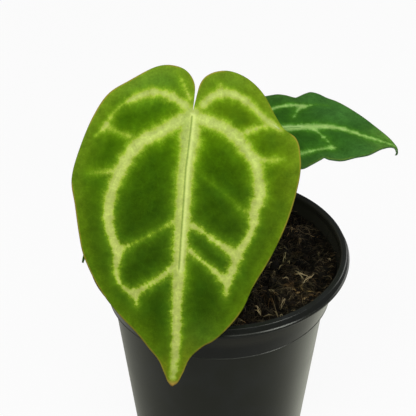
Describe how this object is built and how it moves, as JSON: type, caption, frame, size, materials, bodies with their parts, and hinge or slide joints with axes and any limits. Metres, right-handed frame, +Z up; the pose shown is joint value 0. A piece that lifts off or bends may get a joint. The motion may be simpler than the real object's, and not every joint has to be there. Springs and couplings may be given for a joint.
{
  "type": "potted crystal anthurium",
  "caption": "Young aroid house plant with velvety heart-shaped leaves and pale veins, rooted in a round black nursery pot of dark potting mix.",
  "frame": {"origin": "centre of the pot's underside, on the plane the pot stands on", "axes": "+Z up along the pot's axis; -Y to the plant's front, where the largest leaf faces; +X to the right as seen from the front"},
  "size_m": [0.1454, 0.1334, 0.1998],
  "materials": {
    "pot_plastic": "satin",
    "potting_mix": "rough damp peat with fibres",
    "stem_tissue": "matte",
    "young_leaf": "velvety",
    "mature_leaf": "velvety",
    "small_leaf": "velvety"
  },
  "bodies": {
    "root": {"pot": "pot_plastic", "soil": "potting_mix", "stem": "stem_tissue", "leaf_front": "young_leaf", "leaf_right": "mature_leaf", "leaf_left": "small_leaf"}
  },
  "joints": []
}
